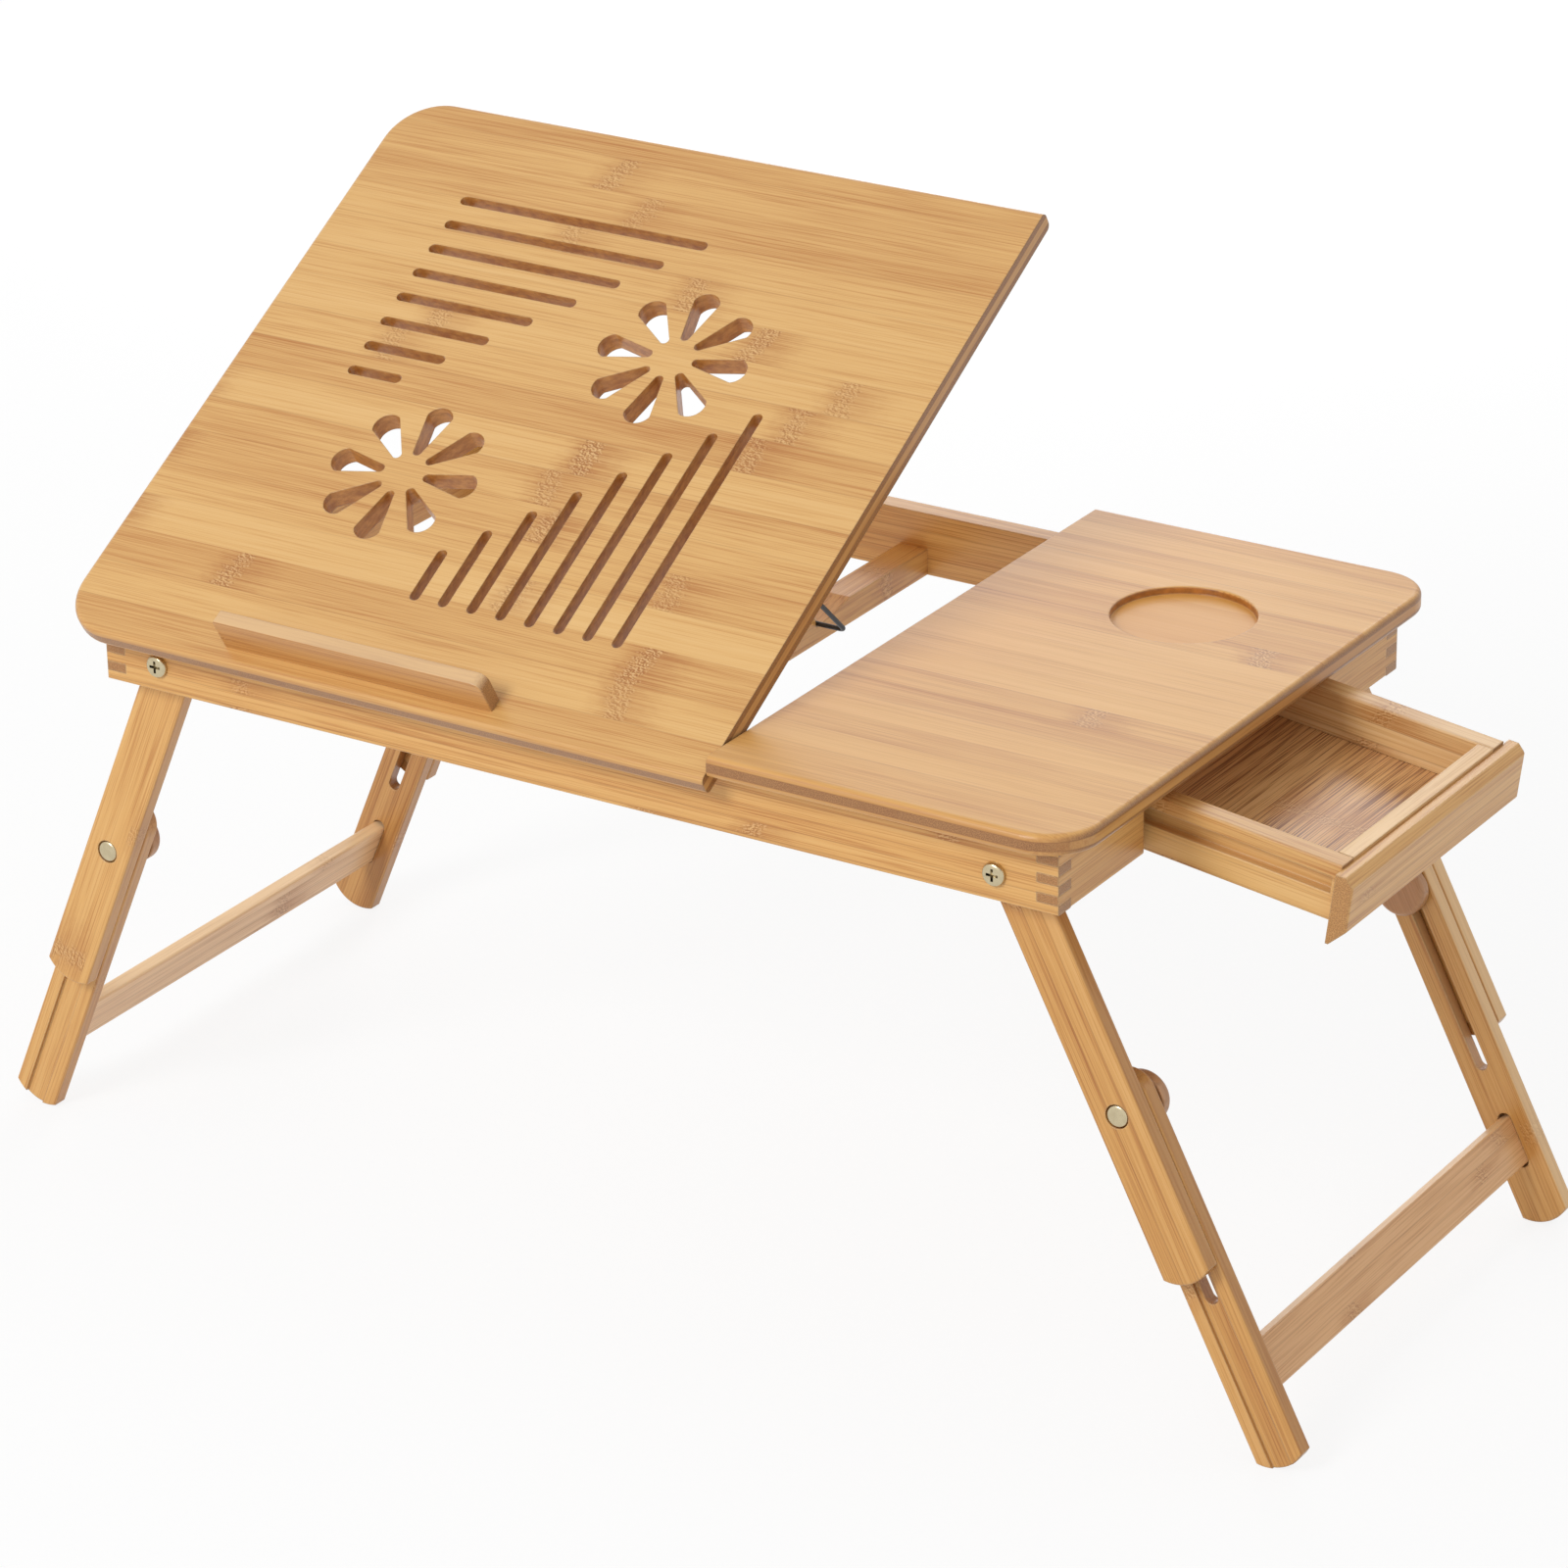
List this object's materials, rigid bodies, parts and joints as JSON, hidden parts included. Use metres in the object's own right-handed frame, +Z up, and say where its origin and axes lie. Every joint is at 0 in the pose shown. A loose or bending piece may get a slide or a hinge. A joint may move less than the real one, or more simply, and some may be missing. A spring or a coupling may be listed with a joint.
{
  "type": "laptop table",
  "caption": "Folding bamboo laptop table with a vented tilting reading board, a fixed side top with a cup recess, a drooping small drawer and splayed telescoping legs",
  "frame": {"origin": "middle of the whole table's box, on the floor", "axes": "+X along the table from the tilting board to the drawer, +Y from the front edge to the back, +Z up"},
  "size_m": [0.7294, 0.3538, 0.4649],
  "materials": {
    "bamboo_top": "satin lacquer, strip grain with knuckle marks",
    "bamboo_frame": "satin lacquer, strip grain",
    "bamboo_drawer": "satin lacquer, strip grain",
    "bamboo_bottom": "thin strip board, darker",
    "dowel_wood": "plain, hidden",
    "nickel_steel": "warm nickel plate",
    "brass_insert": "turned brass",
    "black_wire": "black coated wire"
  },
  "bodies": {
    "frame": {"front_rail": "bamboo_frame", "back_rail": "bamboo_frame", "left_rail": "bamboo_frame", "right_rail_front": "bamboo_frame", "right_rail_back": "bamboo_frame", "cross_rail": "bamboo_frame", "cross_rail_dowels": "dowel_wood", "fixed_top": "bamboo_top", "drawer_guide_front": "bamboo_drawer", "drawer_guide_back": "bamboo_drawer", "drawer_runner_strips": "bamboo_drawer", "leg_pivot_screws": "nickel_steel", "leg_pivot_washers": "nickel_steel", "leg_pivot_nuts": "nickel_steel", "hinge_frame_leaves": "nickel_steel", "hinge_frame_screws": "nickel_steel", "hinge_pins": "nickel_steel"},
    "reading_board": {"tilting_top": "bamboo_top", "stop_ledge": "bamboo_frame", "stop_ledge_dowels": "dowel_wood", "hinge_top_leaves": "nickel_steel", "hinge_top_screws": "nickel_steel", "bail_saddles": "nickel_steel", "bail_saddle_screws": "nickel_steel"},
    "bail": {"prop_bail": "black_wire"},
    "mouth_pins": {"drawer_runner_pins": "nickel_steel"},
    "drawer": {"drawer_front_panel": "bamboo_drawer", "drawer_front_wall": "bamboo_drawer", "drawer_back_wall": "bamboo_drawer", "drawer_side_front": "bamboo_drawer", "drawer_side_back": "bamboo_drawer", "drawer_bottom": "bamboo_bottom", "drawer_screws": "nickel_steel"},
    "left_upper_legs": {"left_front_upper_leg": "bamboo_frame", "left_back_upper_leg": "bamboo_frame", "left_clamp_bolts": "nickel_steel", "left_clamp_washers": "nickel_steel"},
    "left_lower_legs": {"left_front_lower_leg": "bamboo_frame", "left_back_lower_leg": "bamboo_frame", "left_stretcher": "bamboo_frame"},
    "left_front_knob": {"left_front_knob": "bamboo_frame", "left_front_knob_insert": "brass_insert"},
    "left_back_knob": {"left_back_knob": "bamboo_frame", "left_back_knob_insert": "brass_insert"},
    "right_upper_legs": {"right_front_upper_leg": "bamboo_frame", "right_back_upper_leg": "bamboo_frame", "right_clamp_bolts": "nickel_steel", "right_clamp_washers": "nickel_steel"},
    "right_lower_legs": {"right_front_lower_leg": "bamboo_frame", "right_back_lower_leg": "bamboo_frame", "right_stretcher": "bamboo_frame"},
    "right_front_knob": {"right_front_knob": "bamboo_frame", "right_front_knob_insert": "brass_insert"},
    "right_back_knob": {"right_back_knob": "bamboo_frame", "right_back_knob_insert": "brass_insert"}
  },
  "joints": [
    {"name": "board_tilt", "type": "hinge", "parent": "frame", "child": "reading_board", "pos_m": [-0.1044, -0.15392, 0.2896], "axis": [1, 0, 0], "range_deg": [-30.4, 0]},
    {"name": "bail_swing", "type": "hinge", "parent": "reading_board", "child": "bail", "pos_m": [-0.0109, -0.04131, 0.35416], "axis": [1, 0, 0], "range_deg": [0, 74.28]},
    {"name": "drawer_droop", "type": "hinge", "parent": "frame", "child": "mouth_pins", "pos_m": [0.2461, 0.00188, 0.276], "axis": [0, 1, 0], "range_deg": [-7.62, 0]},
    {"name": "drawer_slide", "type": "slide", "parent": "mouth_pins", "child": "drawer", "axis": [0.9912, 0, -0.1323], "range_m": [-0.095, 0]},
    {"name": "left_fold", "type": "hinge", "parent": "frame", "child": "left_upper_legs", "pos_m": [-0.23982, 0.00188, 0.27], "axis": [0, -1, 0], "range_deg": [0, 113.2]},
    {"name": "left_extension", "type": "slide", "parent": "left_upper_legs", "child": "left_lower_legs", "axis": [-0.3939, 0, -0.9191], "range_m": [-0.08561, 0]},
    {"name": "left_front_knob_turn", "type": "hinge", "parent": "left_upper_legs", "child": "left_front_knob", "pos_m": [-0.28808, -0.12712, 0.15741], "axis": [0, 1, 0], "continuous": true},
    {"name": "left_back_knob_turn", "type": "hinge", "parent": "left_upper_legs", "child": "left_back_knob", "pos_m": [-0.28808, 0.13088, 0.15741], "axis": [0, 1, 0], "continuous": true},
    {"name": "right_fold", "type": "hinge", "parent": "frame", "child": "right_upper_legs", "pos_m": [0.21957, 0.00188, 0.27], "axis": [0, 1, 0], "range_deg": [0, 116.9]},
    {"name": "right_extension", "type": "slide", "parent": "right_upper_legs", "child": "right_lower_legs", "axis": [0.4524, 0, -0.8918], "range_m": [-0.09394, 0]},
    {"name": "right_front_knob_turn", "type": "hinge", "parent": "right_upper_legs", "child": "right_front_knob", "pos_m": [0.275, -0.12712, 0.16076], "axis": [0, 1, 0], "continuous": true},
    {"name": "right_back_knob_turn", "type": "hinge", "parent": "right_upper_legs", "child": "right_back_knob", "pos_m": [0.275, 0.13088, 0.16076], "axis": [0, 1, 0], "continuous": true}
  ],
  "couplings": [
    {"joint": "bail_swing", "follows": "board_tilt", "ratio": -2.4427},
    {"joint": "drawer_droop", "follows": "drawer_slide", "rad_per_m": 1.3963},
    {"joint": "left_extension", "follows": "left_fold", "m_per_rad": -0.043323},
    {"joint": "right_extension", "follows": "right_fold", "m_per_rad": -0.046039}
  ]
}
